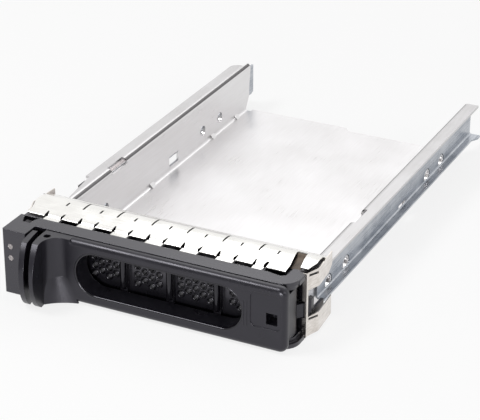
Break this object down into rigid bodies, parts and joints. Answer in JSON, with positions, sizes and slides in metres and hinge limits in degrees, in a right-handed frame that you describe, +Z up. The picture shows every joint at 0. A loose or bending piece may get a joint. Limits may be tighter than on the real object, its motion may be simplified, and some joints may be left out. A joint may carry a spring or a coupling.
{
  "type": "hot swap drive caddy",
  "caption": "Steel drive tray with flanged side walls, a moulded black front, grounding spring fingers and a hinged release lever with a squeeze trigger.",
  "frame": {"origin": "on the tray's underside, midway between the two walls and midway between the front pair and rear pair of the first drive screw pattern", "axes": "+X towards the lever's hinge (right seen from the front), +Y into the bay, +Z up from the tray's floor"},
  "size_m": [0.119, 0.2134, 0.0281],
  "materials": {
    "bright_steel": "satin",
    "rail_steel": "satin",
    "spring_strip": "bright",
    "pin_steel": "satin",
    "spring_wire": "satin",
    "rivet_steel": "satin",
    "black_plastic": "fine texture",
    "handle_plastic": "fine texture",
    "clip_plastic": "plain",
    "clear_acrylic": "clear"
  },
  "bodies": {
    "frame": {"tray": "bright_steel", "guide_rail_right": "rail_steel", "guide_rail_left": "rail_steel", "front_bezel": "black_plastic", "handle_pin": "pin_steel", "handle_spring": "spring_wire", "emi_strip_top": "spring_strip", "emi_strip_right": "spring_strip", "emi_strip_left": "spring_strip", "light_pipe_upper": "clear_acrylic", "light_pipe_lower": "clear_acrylic", "pipe_clip_front": "clip_plastic", "pipe_clip_middle": "clip_plastic", "pipe_clip_rear": "clip_plastic", "rivet_lower_right": "rivet_steel", "rivet_upper_right": "rivet_steel", "rivet_lower_left": "rivet_steel", "rivet_upper_left": "rivet_steel"},
    "lever": {"release_handle": "handle_plastic", "trigger_pin": "pin_steel", "trigger_spring": "spring_wire"},
    "trigger": {"release_trigger": "handle_plastic"}
  },
  "joints": [
    {"name": "lever_hinge", "type": "hinge", "parent": "frame", "child": "lever", "pos_m": [0.0503, -0.0848, 0.01325], "axis": [0, 0, 1], "range_deg": [0, 65]},
    {"name": "trigger_hinge", "type": "hinge", "parent": "lever", "child": "trigger", "pos_m": [-0.04, -0.096, 0.01325], "axis": [0, 0, 1], "range_deg": [0, 8], "stiffness_Nm_per_rad": 0.05, "springref_deg": -8.59}
  ]
}
